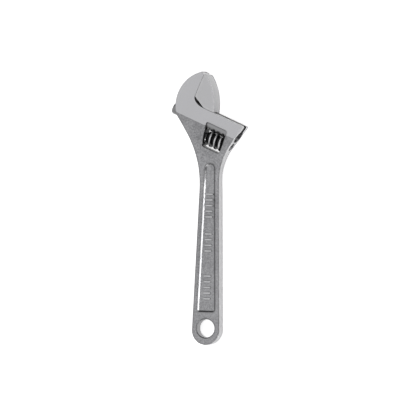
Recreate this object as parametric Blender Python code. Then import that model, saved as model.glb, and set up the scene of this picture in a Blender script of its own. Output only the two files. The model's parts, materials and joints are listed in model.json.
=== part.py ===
"""Adjustable wrench, built as the real tool is: body, movable jaw, worm, worm pin and worm spring.

The wrench lies flat: +Y runs from the handle's end to the head, +X is the side the jaw opens to,
and +Z goes through the thickness. The jaws are closed. Lengths are in metres.

Two drawing frames are used. The body is drawn from the centre of its hang hole. The head is drawn
from the foot of the fixed jaw's face: a runs along the guide, the way the jaw opens, and b runs up
the jaw's face. Both have their zero of height on the middle plane.
"""
import math

import bmesh
import bpy
from mathutils import Matrix, Vector

MM = 0.001

# Overall sizes
HOLE_TO_HEAD_Y = 123.0 * MM
HOLE_TO_HEAD_X = -10.65 * MM
HEAD_ANGLE = math.radians(22.5)
CLEARANCE = 0.3 * MM

# Handle
END_RADIUS = 8.0 * MM
END_DROP = 1.1 * MM
HANG_HOLE_DIAMETER = 10.0 * MM
HOLE_RIM_CHAMFER = 0.8 * MM
HANDLE_THICKNESS = 6.2 * MM
WAIST_HALF_WIDTH = 5.6 * MM
WAIST_BELOW_HEAD = 44.0 * MM
WAIST_THICKNESS = 5.4 * MM
EDGE_CHAMFER = 0.6 * MM

# Recess on each face of the handle
RECESS_DEPTH = 1.1 * MM
RECESS_RIM = 2.3 * MM
RECESS_SLOPE = 0.9 * MM
RECESS_ABOVE_HOLE = 8.8 * MM
RECESS_BELOW_HEAD = 32.6 * MM
RECESS_CORNER = 1.6 * MM
RECESS_END_SHARE = 0.98

# Head and neck
HEAD_THICKNESS = 10.0 * MM
BAND_HEIGHT = 8.0 * MM
NECK_LEAN = math.radians(30.7)
NECK_LEFT_RADIUS = 60.0 * MM
NECK_RIGHT_RADIUS = 28.0 * MM
NECK_SIDE_RADIUS = 22.0 * MM
NECK_STATIONS = ((13.0 * MM, 8.0 * MM), (19.0 * MM, 6.4 * MM))
NECK_THINNEST = 29.0 * MM
NECK_END = 41.0 * MM
NECK_SMOOTHING = 6.0 * MM
BAND_EDGE_RADIUS = 0.5 * MM
HEAD_CORNER_DROP = 9.4 * MM
HEAD_CORNER_RADIUS = 1.0 * MM
LIP_DROP = 17.0 * MM
GUIDE_LIP = 3.9 * MM
GUIDE_LIP_RADIUS = 0.8 * MM
SIDE_WALL = 3.5 * MM

# Jaws
FIXED_BACK_RADIUS = 19.2 * MM
FIXED_BACK_CENTRE = (9.4 * MM, 2.4 * MM)
FIXED_TIP_RADIUS = 1.6 * MM
THROAT_WIDTH = 7.3 * MM
THROAT_HEIGHT = 4.2 * MM
JAW_SINK = 0.2 * MM
JAW_BACK_RADIUS = 30.35 * MM
JAW_BACK_CENTRE = (-15.84 * MM, -7.17 * MM)
JAW_TIP_RADIUS = 1.3 * MM
JAW_TIP_FLAT = 3.6 * MM
JAW_EDGE_ROUNDING = 0.4 * MM
JAW_TRAVEL = 19.0 * MM

# Shank of the movable jaw
SHANK_DIAMETER = 6.6 * MM
SHANK_BELOW_GUIDE = 3.6 * MM
SHANK_LEFT = -10.2 * MM
SHANK_CHAMFER = 1.1 * MM
SHANK_PAST_WINDOW = 0.9 * MM
WEB_THICKNESS = 2.9 * MM
WEB_LEFT = 1.4 * MM
WEB_RIGHT = 13.4 * MM

# Worm and rack
PITCH = 3.0 * MM
WORM_DIAMETER = 9.9 * MM
THREAD_DEPTH = 2.1 * MM
CREST_WIDTH = 0.85 * MM
THREAD_BASE_WIDTH = 1.5 * MM
FLANK_CLEARANCE = 0.25 * MM
WORM_LEFT = 14.7 * MM
WORM_LENGTH = 9.9 * MM
WORM_CHAMFER = 0.5 * MM
WORM_END_PLAY = 0.4 * MM
WORM_ENVELOPE_SKIN = 0.2 * MM

# Window
WINDOW_TOP = 6.0 * MM
WINDOW_BELOW_WORM = 0.9 * MM
WINDOW_SLANT = 2.6 * MM
WINDOW_CORNER = 1.2 * MM

# Pin and spring
PIN_DIAMETER = 2.4 * MM
PIN_HEAD_DIAMETER = 4.2 * MM
PIN_HEAD_LENGTH = 3.2 * MM
PIN_SLOT_WIDTH = 0.7 * MM
PIN_SLOT_DEPTH = 0.9 * MM
PIN_SEAT = 5.5 * MM
PIN_SINK = 0.7 * MM
PIN_CHAMFER = 0.3 * MM
SPRING_WIRE = 0.4 * MM
SPRING_TURNS = 3
SPRING_POCKET_DEPTH = 3.0 * MM

# How finely round shapes are faceted
ARC_STEP = math.radians(9.0)
ROUND_SIDES = 32
BODY_CORNER_LIMIT = math.radians(55)
JAW_CORNER_LIMIT = math.radians(50)
OVERSHOOT = 2.0 * MM

# Sizes that follow from the ones above
HEAD_TURN = -HEAD_ANGLE
JAW_THICKNESS = HEAD_THICKNESS - 2 * JAW_SINK
SHANK_RADIUS = SHANK_DIAMETER / 2
SHANK_B = -(SHANK_BELOW_GUIDE + SHANK_RADIUS)
WORM_RADIUS = WORM_DIAMETER / 2
WORM_ROOT = WORM_RADIUS - THREAD_DEPTH
WORM_B = SHANK_B - SHANK_RADIUS - CLEARANCE - WORM_ROOT
WORM_RIGHT = WORM_LEFT + WORM_LENGTH
WINDOW_RIGHT = WORM_RIGHT + WORM_END_PLAY
WINDOW_BOTTOM = WORM_B - WORM_RADIUS - WINDOW_BELOW_WORM
SIDE_A = WINDOW_RIGHT + SIDE_WALL
GUIDE_END = SIDE_A + GUIDE_LIP
SHANK_RIGHT = WINDOW_RIGHT + SHANK_PAST_WINDOW
PIN_HOLE_DIAMETER = PIN_DIAMETER + 2 * CLEARANCE
PIN_LEFT = WORM_LEFT - PIN_SEAT
PIN_RIGHT = SIDE_A + GUIDE_LIP * (1 + WORM_B / LIP_DROP) - PIN_SINK
SPRING_RADIUS = PIN_DIAMETER / 2 + CLEARANCE + SPRING_WIRE / 2
SPRING_POCKET_RADIUS = SPRING_RADIUS + SPRING_WIRE / 2 + CLEARANCE
WAIST_Y = HOLE_TO_HEAD_Y - WAIST_BELOW_HEAD


def clear_scene():
    for obj in list(bpy.data.objects):
        bpy.data.objects.remove(obj, do_unlink=True)


def arc(centre, radius, start, end):
    """Points on an arc from angle start to angle end, both included."""
    count = max(2, math.ceil(abs(end - start) / ARC_STEP))
    points = []
    for i in range(count + 1):
        angle = start + (end - start) * i / count
        points.append(Vector((centre[0] + radius * math.cos(angle), centre[1] + radius * math.sin(angle))))
    return points


def rounded(corners):
    """A closed outline whose corners, given as (point, radius), are replaced by tangent arcs."""
    points = []
    count = len(corners)
    for i, (corner, radius) in enumerate(corners):
        corner = Vector(corner)
        if radius == 0:
            points.append(corner)
            continue
        before = (Vector(corners[i - 1][0]) - corner).normalized()
        after = (Vector(corners[(i + 1) % count][0]) - corner).normalized()
        half = math.acos(max(-1.0, min(1.0, before.dot(after)))) / 2
        centre = corner + (before + after).normalized() * (radius / math.sin(half))
        first = corner + before * (radius / math.tan(half)) - centre
        last = corner + after * (radius / math.tan(half)) - centre
        start = math.atan2(first.y, first.x)
        sweep = math.atan2(first.x * last.y - first.y * last.x, first.dot(last))
        points += arc(centre, radius, start, start + sweep)
    return points


def meet(point, direction, other, other_direction):
    """Where two lines cross."""
    across = direction.x * other_direction.y - direction.y * other_direction.x
    gap = other - point
    return point + direction * ((gap.x * other_direction.y - gap.y * other_direction.x) / across)


def head_point(a, b):
    """A point of the head's frame, in the body's frame."""
    turned = Matrix.Rotation(HEAD_TURN, 2) @ Vector((a, b))
    return turned + Vector((HOLE_TO_HEAD_X, HOLE_TO_HEAD_Y))


def head_direction(a, b):
    return Matrix.Rotation(HEAD_TURN, 2) @ Vector((a, b))


def make_object(name, bm):
    mesh = bpy.data.meshes.new(name)
    bmesh.ops.recalc_face_normals(bm, faces=bm.faces)
    bm.to_mesh(mesh)
    bm.free()
    obj = bpy.data.objects.new(name, mesh)
    bpy.context.scene.collection.objects.link(obj)
    return obj


def prism(name, outline, low, high, axis="Z"):
    """An outline extruded from low to high along Z, or from its YZ plane along X."""
    bm = bmesh.new()
    if axis == "Z":
        corners = [bm.verts.new((x, y, low)) for x, y in outline]
        travel = Vector((0, 0, high - low))
    else:
        corners = [bm.verts.new((low, y, z)) for y, z in outline]
        travel = Vector((high - low, 0, 0))
    face = bm.faces.new(corners)
    grown = bmesh.ops.extrude_face_region(bm, geom=[face])
    moved = [item for item in grown["geom"] if isinstance(item, bmesh.types.BMVert)]
    bmesh.ops.translate(bm, verts=moved, vec=travel)
    return make_object(name, bm)


def turned(name, profile, sides=ROUND_SIDES):
    """A round piece along X. The profile lists (x, radius) and starts and ends on the axis."""
    bm = bmesh.new()
    rings = []
    for x, radius in profile:
        if radius == 0:
            rings.append([bm.verts.new((x, 0, 0))])
            continue
        ring = []
        for i in range(sides):
            angle = 2 * math.pi * i / sides
            ring.append(bm.verts.new((x, radius * math.cos(angle), radius * math.sin(angle))))
        rings.append(ring)
    for near, far in zip(rings, rings[1:]):
        for i in range(sides):
            j = (i + 1) % sides
            if len(near) == 1:
                bm.faces.new((near[0], far[i], far[j]))
            elif len(far) == 1:
                bm.faces.new((near[i], far[0], near[j]))
            else:
                bm.faces.new((near[i], far[i], far[j], near[j]))
    return make_object(name, bm)


def combine(obj, tool, operation):
    """Adds a live Boolean; the tool stays in the file as a wire guide."""
    tool.hide_render = True
    tool.display_type = "WIRE"
    modifier = obj.modifiers.new(operation.lower(), "BOOLEAN")
    modifier.operation = operation
    modifier.solver = "EXACT"
    modifier.object = tool


def round_edges(obj, width, segments, angle):
    modifier = obj.modifiers.new("rounding", "BEVEL")
    modifier.width = width
    modifier.segments = segments
    modifier.limit_method = "ANGLE"
    modifier.angle_limit = angle
    modifier.use_clamp_overlap = True


def give_material(obj, name, colour, roughness, metallic):
    material = bpy.data.materials.new(name)
    material.use_nodes = True
    shader = material.node_tree.nodes["Principled BSDF"]
    shader.inputs["Base Color"].default_value = (*colour, 1.0)
    shader.inputs["Roughness"].default_value = roughness
    shader.inputs["Metallic"].default_value = metallic
    obj.data.materials.append(material)


# ---------------------------------------------------------------- body

def handle_side(sign):
    """A point and a direction on the handle's tapered side, and the angle of its taper."""
    end_centre = Vector((0, -END_DROP))
    rise = WAIST_Y + END_DROP
    reach = math.hypot(rise, WAIST_HALF_WIDTH)
    taper = math.asin(END_RADIUS / reach) - math.atan2(WAIST_HALF_WIDTH, rise)
    touch = end_centre + END_RADIUS * Vector((sign * math.cos(taper), math.sin(taper)))
    return touch, Vector((-sign * math.sin(taper), math.cos(taper))), taper


def fixed_back_angle(b):
    """Angle on the fixed jaw's back arc, on its left half, at height b."""
    return math.pi - math.asin((b - FIXED_BACK_CENTRE[1]) / FIXED_BACK_RADIUS)


def body_outline():
    left, left_direction, taper = handle_side(-1)
    right, right_direction, _ = handle_side(1)
    up = head_direction(0, 1)

    end = arc((0, -END_DROP), END_RADIUS, math.pi - taper, 2 * math.pi + taper)
    corners = [(point, 0) for point in end]
    corners.append((meet(right, right_direction, head_point(SIDE_A, 0), up), NECK_RIGHT_RADIUS))
    corners.append((head_point(SIDE_A, -LIP_DROP), NECK_SIDE_RADIUS))
    corners.append((head_point(GUIDE_END, 0), GUIDE_LIP_RADIUS))

    quarter = arc((0, 0), 1.0, 0, math.pi / 2)
    for point in quarter:
        corners.append((head_point(THROAT_WIDTH * (1 - point.y), THROAT_HEIGHT * (1 - point.x)), 0))

    tip_angle = math.acos(-FIXED_BACK_CENTRE[0] / FIXED_BACK_RADIUS)
    back = arc(FIXED_BACK_CENTRE, FIXED_BACK_RADIUS, tip_angle, fixed_back_angle(-HEAD_CORNER_DROP))
    corners.append((head_point(*back[0]), FIXED_TIP_RADIUS))
    for point in back[1:-1]:
        corners.append((head_point(*point), 0))
    corner = head_point(*back[-1])
    corners.append((corner, HEAD_CORNER_RADIUS))
    neck = Vector((math.sin(NECK_LEAN), -math.cos(NECK_LEAN)))
    corners.append((meet(left, left_direction, corner, neck), NECK_LEFT_RADIUS))
    return rounded(corners)


def thickness_profile():
    """Half of the body's thickness against b, from the jaw's tip down past the handle's end."""
    stations = [(-BAND_HEIGHT, HEAD_THICKNESS)]
    stations += [(-drop, thickness) for drop, thickness in NECK_STATIONS]
    stations += [(-NECK_THINNEST, WAIST_THICKNESS), (-NECK_END, HANDLE_THICKNESS)]
    return [(b, thickness / 2) for b, thickness in stations]


def thickness_solid():
    """A long bar along a whose section is the thickness profile; the body is what lies inside it."""
    top = JAW_BACK_RADIUS
    bottom = -2 * HOLE_TO_HEAD_Y
    half = thickness_profile()
    upper = [(top, HEAD_THICKNESS / 2)] + half + [(bottom, HANDLE_THICKNESS / 2)]
    radii = [0, BAND_EDGE_RADIUS] + [NECK_SMOOTHING] * (len(half) - 1) + [0]
    corners = [(point, radius) for point, radius in zip(upper, radii)]
    corners += [((b, -z), radius) for (b, z), radius in reversed(corners)]
    bar = prism("thickness_guide", rounded(corners), -HOLE_TO_HEAD_Y, HOLE_TO_HEAD_Y, axis="X")
    place_in_head(bar)
    return bar


def recess_tool(sign):
    """The tapered pocket of one face: narrower at its floor than at its mouth."""
    left, direction, taper = handle_side(-1)
    inward = Vector((math.cos(taper), math.sin(taper)))
    bottom_y = RECESS_ABOVE_HOLE
    top_y = HOLE_TO_HEAD_Y - RECESS_BELOW_HEAD
    rim = left + inward * RECESS_RIM

    def half_width(y, inset):
        point = meet(rim, direction, Vector((0, y)), Vector((1, 0)))
        return -point.x - inset

    def section(inset, z):
        low = half_width(bottom_y, inset)
        radius = half_width(top_y, inset) * RECESS_END_SHARE
        high = half_width(top_y, inset)
        corners = [((-low, bottom_y + inset), RECESS_CORNER), ((low, bottom_y + inset), RECESS_CORNER),
                   ((high, top_y - inset), radius), ((-high, top_y - inset), radius)]
        return [(x, y, z) for x, y in rounded(corners)]

    outside = HANDLE_THICKNESS / 2 + OVERSHOOT
    floor = HANDLE_THICKNESS / 2 - RECESS_DEPTH
    spread = -RECESS_SLOPE * OVERSHOOT / RECESS_DEPTH
    bm = bmesh.new()
    lower = [bm.verts.new((x, y, sign * z)) for x, y, z in section(RECESS_SLOPE, floor)]
    upper = [bm.verts.new((x, y, sign * z)) for x, y, z in section(spread, outside)]
    bm.faces.new(lower)
    bm.faces.new(upper)
    count = len(lower)
    for i in range(count):
        j = (i + 1) % count
        bm.faces.new((lower[i], lower[j], upper[j], upper[i]))
    return make_object("recess_guide", bm)


def window_outline():
    left = WORM_LEFT - WORM_END_PLAY
    return rounded([
        ((left, WINDOW_BOTTOM), WINDOW_CORNER), ((WINDOW_RIGHT, WINDOW_BOTTOM), WINDOW_CORNER),
        ((WINDOW_RIGHT, -WINDOW_TOP), WINDOW_CORNER), ((left - WINDOW_SLANT, -WINDOW_TOP), WINDOW_CORNER)])


def make_body():
    body = prism("body", body_outline(), -HEAD_THICKNESS, HEAD_THICKNESS)
    combine(body, thickness_solid(), "INTERSECT")
    round_edges(body, EDGE_CHAMFER, 1, BODY_CORNER_LIMIT)
    for sign in (1, -1):
        combine(body, recess_tool(sign), "DIFFERENCE")

    hole = HANG_HOLE_DIAMETER / 2
    face = HANDLE_THICKNESS / 2
    rim = HOLE_RIM_CHAMFER
    hang_hole = turned("hang_hole_guide", [
        (-face - rim, 0), (-face - rim, hole + 2 * rim), (-face + rim, hole), (face - rim, hole),
        (face + rim, hole + 2 * rim), (face + rim, 0)])
    hang_hole.rotation_euler = (0, math.pi / 2, 0)
    combine(body, hang_hole, "DIFFERENCE")

    window = prism("window_guide", window_outline(), -HEAD_THICKNESS, HEAD_THICKNESS)
    place_in_head(window)
    combine(body, window, "DIFFERENCE")

    bore_radius = SHANK_RADIUS + CLEARANCE
    far_left = SHANK_LEFT - OVERSHOOT
    far_right = GUIDE_END + OVERSHOOT
    bore = turned("bore_guide", [(far_left, 0), (far_left, bore_radius), (far_right, bore_radius), (far_right, 0)])
    place_in_head(bore, b=SHANK_B)
    combine(body, bore, "DIFFERENCE")

    half_slot = WEB_THICKNESS / 2 + CLEARANCE
    slot_left = WEB_LEFT - CLEARANCE
    slot_outline = [(slot_left, SHANK_B), (far_right, SHANK_B), (far_right, THROAT_HEIGHT + OVERSHOOT),
                    (slot_left, THROAT_HEIGHT + OVERSHOOT)]
    slot = prism("slot_guide", slot_outline, -half_slot, half_slot)
    place_in_head(slot)
    combine(body, slot, "DIFFERENCE")

    hole_radius = PIN_HOLE_DIAMETER / 2
    head_radius = PIN_HEAD_DIAMETER / 2 + CLEARANCE
    shoulder = PIN_RIGHT - PIN_HEAD_LENGTH - CLEARANCE
    pin_hole = turned("pin_hole_guide", [
        (PIN_LEFT - CLEARANCE, 0), (PIN_LEFT - CLEARANCE, hole_radius), (shoulder, hole_radius),
        (shoulder, head_radius), (far_right, head_radius), (far_right, 0)])
    place_in_head(pin_hole, b=WORM_B)
    combine(body, pin_hole, "DIFFERENCE")
    return body


# ---------------------------------------------------------------- movable jaw

def jaw_outline():
    """The jaw plate, with the slide direction's a and b measured from the shank's axis."""
    face = CLEARANCE
    sole = CLEARANCE
    centre_a, centre_b = JAW_BACK_CENTRE
    sole_angle = math.asin((sole - centre_b) / JAW_BACK_RADIUS)
    tip_angle = math.acos((face - centre_a) / JAW_BACK_RADIUS)
    last = tip_angle - JAW_TIP_FLAT / JAW_BACK_RADIUS
    back = arc(JAW_BACK_CENTRE, JAW_BACK_RADIUS, sole_angle, last)
    tip = (face, centre_b + JAW_BACK_RADIUS * math.sin(tip_angle))
    corners = [((THROAT_WIDTH, sole), 0)] + [(point, 0) for point in back]
    corners += [(tip, JAW_TIP_RADIUS), ((face, THROAT_HEIGHT), 0)]
    return [(a, b - SHANK_B) for a, b in rounded(corners)]


def rack_tool():
    """The slanted gaps between the rack's teeth, one prism each, in the shank's own frame."""
    tip = -SHANK_RADIUS - OVERSHOOT
    root = WORM_B - SHANK_B + WORM_RADIUS + CLEARANCE
    flank = (THREAD_BASE_WIDTH - CREST_WIDTH) / 2 / THREAD_DEPTH
    root_half = CREST_WIDTH / 2 + FLANK_CLEARANCE
    tip_half = root_half + (root - tip) * flank
    reach = SHANK_DIAMETER
    lead = PITCH / (2 * math.pi * (WORM_RADIUS - THREAD_DEPTH / 4))
    centre = WORM_LEFT + WORM_LENGTH / 2
    first = math.floor((centre - SHANK_RIGHT) / PITCH)
    last = math.ceil((centre - WORM_LEFT + JAW_TRAVEL) / PITCH)
    bm = bmesh.new()
    for step in range(first, last + 1):
        middle = centre - step * PITCH
        outline = [(middle - root_half, root), (middle + root_half, root),
                   (middle + tip_half, tip), (middle - tip_half, tip)]
        near = [bm.verts.new((a - lead * reach, b, -reach)) for a, b in outline]
        far = [bm.verts.new((a + lead * reach, b, reach)) for a, b in outline]
        bm.faces.new(near)
        bm.faces.new(far)
        for i in range(4):
            j = (i + 1) % 4
            bm.faces.new((near[i], near[j], far[j], far[i]))
    return make_object("rack_guide", bm)


def make_movable_jaw():
    half = JAW_THICKNESS / 2
    jaw = prism("movable_jaw", jaw_outline(), -half, half)
    round_edges(jaw, JAW_EDGE_ROUNDING, 2, JAW_CORNER_LIMIT)
    web_half = WEB_THICKNESS / 2
    web_top = CLEARANCE - SHANK_B + CLEARANCE
    web_outline = [(WEB_LEFT, 0), (WEB_RIGHT, 0), (WEB_RIGHT, web_top), (THROAT_WIDTH, web_top),
                   (THROAT_WIDTH - CLEARANCE, CLEARANCE - SHANK_B - CLEARANCE), (WEB_LEFT, -SHANK_B - CLEARANCE)]
    web = prism("web_guide", web_outline, -web_half, web_half)
    combine(jaw, web, "UNION")
    radius = SHANK_RADIUS
    inner = radius - SHANK_CHAMFER
    shank = turned("shank_guide", [
        (SHANK_LEFT, 0), (SHANK_LEFT, inner), (SHANK_LEFT + SHANK_CHAMFER, radius),
        (SHANK_RIGHT - SHANK_CHAMFER, radius), (SHANK_RIGHT, inner), (SHANK_RIGHT, 0)])
    combine(jaw, shank, "UNION")
    rack = rack_tool()
    combine(jaw, rack, "DIFFERENCE")
    for piece in (jaw, web, shank, rack):
        place_in_head(piece, b=SHANK_B)
    return jaw


# ---------------------------------------------------------------- worm, pin and spring

def threaded_rod(name, turns):
    """A closed right-hand screw along X: its thread's middle is at angle 0 where x is a whole pitch."""
    sides = ROUND_SIDES
    crest = CREST_WIDTH / 2
    base = THREAD_BASE_WIDTH / 2
    section = [(-base, WORM_ROOT), (-crest, WORM_RADIUS), (crest, WORM_RADIUS), (base, WORM_ROOT)]
    bm = bmesh.new()
    columns = []
    for step in range(turns * sides + 1):
        angle = 2 * math.pi * step / sides
        column = []
        for offset, radius in section:
            x = PITCH * (step / sides - turns // 2) + offset
            column.append(bm.verts.new((x, radius * math.cos(angle), radius * math.sin(angle))))
        columns.append(column)
    for near, far in zip(columns, columns[1:]):
        for k in range(3):
            bm.faces.new((near[k], far[k], far[k + 1], near[k + 1]))
    last_turn = (turns - 1) * sides
    for step in range(last_turn):
        bm.faces.new((columns[step][3], columns[step + 1][3], columns[step + 1 + sides][0],
                      columns[step + sides][0]))
    start = [columns[step][0] for step in range(sides + 1)] + [columns[0][3], columns[0][2], columns[0][1]]
    finish = [columns[last_turn + step][3] for step in range(sides + 1)]
    finish += [columns[-1][2], columns[-1][1], columns[-1][0]]
    for loop in (start, finish):
        x = sum(vert.co.x for vert in loop) / len(loop)
        hub = bm.verts.new((x, 0, 0))
        for i in range(len(loop)):
            bm.faces.new((loop[i], loop[(i + 1) % len(loop)], hub))
    return make_object(name, bm)


def make_worm():
    half = WORM_LENGTH / 2
    turns = math.ceil(WORM_LENGTH / PITCH) + 3
    worm = threaded_rod("worm", turns)
    chamfer = WORM_CHAMFER
    outer = WORM_RADIUS + WORM_ENVELOPE_SKIN
    envelope = turned("worm_envelope_guide", [
        (-half, 0), (-half, outer - chamfer), (-half + chamfer, outer), (half - chamfer, outer),
        (half, outer - chamfer), (half, 0)])
    combine(worm, envelope, "INTERSECT")
    bore = PIN_HOLE_DIAMETER / 2
    pocket = half - SPRING_POCKET_DEPTH
    far = half + OVERSHOOT
    opening = turned("worm_bore_guide", [
        (-far, 0), (-far, bore), (pocket, bore), (pocket, SPRING_POCKET_RADIUS), (far, SPRING_POCKET_RADIUS),
        (far, 0)])
    combine(worm, opening, "DIFFERENCE")
    for piece in (worm, envelope, opening):
        place_in_head(piece, a=WORM_LEFT + half, b=WORM_B)
    return worm


def make_pin():
    radius = PIN_DIAMETER / 2
    head_radius = PIN_HEAD_DIAMETER / 2
    right = PIN_RIGHT
    shoulder = right - PIN_HEAD_LENGTH
    chamfer = PIN_CHAMFER
    pin = turned("worm_pin", [
        (PIN_LEFT, 0), (PIN_LEFT, radius - chamfer), (PIN_LEFT + chamfer, radius), (shoulder, radius),
        (shoulder, head_radius), (right - chamfer, head_radius), (right, head_radius - chamfer), (right, 0)])
    half = PIN_SLOT_WIDTH / 2
    slot_outline = [(-half, -PIN_HEAD_DIAMETER), (half, -PIN_HEAD_DIAMETER), (half, PIN_HEAD_DIAMETER),
                    (-half, PIN_HEAD_DIAMETER)]
    slot = prism("pin_slot_guide", slot_outline, right - PIN_SLOT_DEPTH, right + OVERSHOOT, axis="X")
    combine(pin, slot, "DIFFERENCE")
    for piece in (pin, slot):
        place_in_head(piece, b=WORM_B)
    return pin


def make_spring():
    """A coil of round wire round the pin, in the pocket of the worm's right end."""
    wire_sides = 6
    steps = 16
    length = SPRING_POCKET_DEPTH - 2 * CLEARANCE - SPRING_WIRE
    start = WORM_RIGHT - SPRING_POCKET_DEPTH + CLEARANCE + SPRING_WIRE / 2
    bm = bmesh.new()
    rings = []
    total = SPRING_TURNS * steps
    for step in range(total + 1):
        angle = 2 * math.pi * step / steps
        outward = Vector((0, math.cos(angle), math.sin(angle)))
        centre = Vector((start + length * step / total, 0, 0)) + outward * SPRING_RADIUS
        ring = []
        for side in range(wire_sides):
            turn = 2 * math.pi * side / wire_sides
            offset = outward * math.cos(turn) + Vector((1, 0, 0)) * math.sin(turn)
            ring.append(bm.verts.new(centre + offset * (SPRING_WIRE / 2)))
        rings.append(ring)
    for near, far in zip(rings, rings[1:]):
        for side in range(wire_sides):
            after = (side + 1) % wire_sides
            bm.faces.new((near[side], far[side], far[after], near[after]))
    bm.faces.new(rings[0])
    bm.faces.new(rings[-1])
    spring = make_object("worm_spring", bm)
    place_in_head(spring, b=WORM_B)
    return spring


# ---------------------------------------------------------------- assembly

def place_in_head(obj, a=0.0, b=0.0):
    """Puts an object whose frame is parallel to the head's at (a, b)."""
    point = head_point(a, b)
    obj.location = (point.x, point.y, 0)
    obj.rotation_euler = (0, 0, HEAD_TURN)


def stand_on_floor(pieces):
    """Hangs everything on one empty and moves that, so the box's lowest face is centred on the origin."""
    frame = bpy.data.objects.new("wrench_frame", None)
    bpy.context.scene.collection.objects.link(frame)
    for obj in bpy.data.objects:
        if obj is not frame:
            obj.parent = frame
    bpy.context.view_layer.update()
    graph = bpy.context.evaluated_depsgraph_get()
    points = []
    for piece in pieces:
        shape = piece.evaluated_get(graph)
        points += [shape.matrix_world @ vertex.co for vertex in shape.data.vertices]
    low = [min(point[i] for point in points) for i in range(3)]
    high = [max(point[i] for point in points) for i in range(3)]
    frame.location = (-(low[0] + high[0]) / 2, -(low[1] + high[1]) / 2, -low[2])
    bpy.context.view_layer.update()


def main():
    clear_scene()
    body = make_body()
    jaw = make_movable_jaw()
    worm = make_worm()
    pin = make_pin()
    spring = make_spring()
    give_material(body, "satin_nickel", (0.56, 0.57, 0.58), 0.36, 1.0)
    give_material(jaw, "polished_nickel", (0.62, 0.63, 0.64), 0.28, 1.0)
    give_material(worm, "bright_nickel", (0.66, 0.67, 0.68), 0.24, 1.0)
    give_material(pin, "pin_steel", (0.50, 0.50, 0.51), 0.34, 1.0)
    give_material(spring, "spring_steel", (0.40, 0.40, 0.41), 0.32, 1.0)
    pieces = (body, jaw, worm, pin, spring)
    for piece in pieces:
        piece.data.shade_smooth()
        piece.data.set_sharp_from_angle(angle=math.radians(30))
    stand_on_floor(pieces)


main()
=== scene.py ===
"""An adjustable wrench: satin-plated forging, ground head, bright thumb worm, slotted pin and coil spring.

The drawings are in millimetres from the centre of the hang hole, along the frame's X and Y, with the
height zero on the wrench's middle plane. The head has a frame of its own: a runs along the guide, the
way the jaw opens, and b runs up the fixed jaw's face; both start at the foot of that face.
"""

import json
import math

import bmesh
import bpy
import numpy as np
from mathutils import Matrix, Vector
from mathutils.geometry import delaunay_2d_cdt


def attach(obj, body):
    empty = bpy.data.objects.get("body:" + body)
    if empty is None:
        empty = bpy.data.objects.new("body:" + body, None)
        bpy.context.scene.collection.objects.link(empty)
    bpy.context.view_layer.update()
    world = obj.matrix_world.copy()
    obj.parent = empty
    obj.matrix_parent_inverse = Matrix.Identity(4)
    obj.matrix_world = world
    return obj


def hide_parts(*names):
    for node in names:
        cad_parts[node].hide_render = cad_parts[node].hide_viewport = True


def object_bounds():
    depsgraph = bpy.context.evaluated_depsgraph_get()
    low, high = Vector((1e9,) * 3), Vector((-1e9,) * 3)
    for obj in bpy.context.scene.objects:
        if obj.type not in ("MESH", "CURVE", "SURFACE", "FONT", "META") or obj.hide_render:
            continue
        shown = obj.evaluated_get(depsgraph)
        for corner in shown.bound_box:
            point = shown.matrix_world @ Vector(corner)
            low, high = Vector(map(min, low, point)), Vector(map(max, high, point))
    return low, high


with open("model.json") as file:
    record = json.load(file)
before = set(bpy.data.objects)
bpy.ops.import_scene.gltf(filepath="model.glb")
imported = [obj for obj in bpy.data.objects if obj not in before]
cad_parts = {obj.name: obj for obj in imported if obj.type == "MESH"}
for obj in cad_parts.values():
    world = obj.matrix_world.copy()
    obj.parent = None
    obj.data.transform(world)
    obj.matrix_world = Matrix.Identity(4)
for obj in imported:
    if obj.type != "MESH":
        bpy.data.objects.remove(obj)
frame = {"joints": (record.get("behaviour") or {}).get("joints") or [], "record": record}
CAD_LOW, CAD_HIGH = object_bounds()

MM = 0.001
GAP = 0.3

# Handle
END_RADIUS = 8.0
END_DROP = 1.1
HOLE_RADIUS = 5.0
HOLE_ROUNDING = 0.85
WAIST_HALF_WIDTH = 5.6
WAIST_BELOW_HEAD = 44.0
HANDLE_ROUNDING = 0.6

# Recess in each face, and the raised bars on its floor
RECESS_FLOOR = 2.0
RECESS_RIM = 2.35
RECESS_WALL = 1.05
RECESS_EASE = 0.15
RECESS_ABOVE_HOLE = 8.8
RECESS_BELOW_HEAD = 32.6
RECESS_CORNER = 1.7
BAR_LENGTH = 4.6
BAR_WIDTH = 1.35
BAR_HEIGHT = 0.42
BAR_PITCH = 3.1
BAR_SINK = 0.25
BAR_TAPER = 0.32
BAR_GROUPS = ((55.8, 5), (76.0, 4), (100.6, 5))

# Head and neck: half the thickness at each distance below the guide
HEAD_HALF = 5.0
BAND_HEIGHT = 8.0
NECK_STATIONS = ((8.0, 5.0), (9.6, 4.62), (13.0, 4.0), (19.0, 3.2), (29.0, 2.7), (41.0, 3.1))
NECK_LEAN = math.radians(30.7)
NECK_LEFT_RADIUS = 60.0
NECK_RIGHT_RADIUS = 28.0
NECK_SIDE_RADIUS = 22.0
LIP_DROP = 17.0
HEAD_CORNER_DROP = 9.4
HEAD_CORNER_RADIUS = 1.0
SIDE_A = 28.5
GUIDE_END = 32.4
GUIDE_RAISE = 0.18
GUIDE_LIP_RADIUS = 0.8
BACK_ROUNDING = 0.3
FACE_ROUNDING = 0.1
HANDLE_BEVEL = 0.6
HANDLE_BEVEL_SLOPE = 0.62
HEAD_BEVEL = 1.25
HEAD_BEVEL_SLOPE = 1.15
LIP_BEVEL = 0.5
SIDE_ROUNDING = 0.25
HANDLE_B = -30.0
BEVEL_B = -23.0
BEVEL_STEPS = (0.03, 0.08, 0.15, 0.25, 0.4, 0.56, 0.62, 0.8, 1.05, 1.2, 1.28, 1.5)
BAND_STEPS = (0.02, 0.12, 0.3, 0.6, 1.0, 1.5, 2.1, -0.05)

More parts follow.
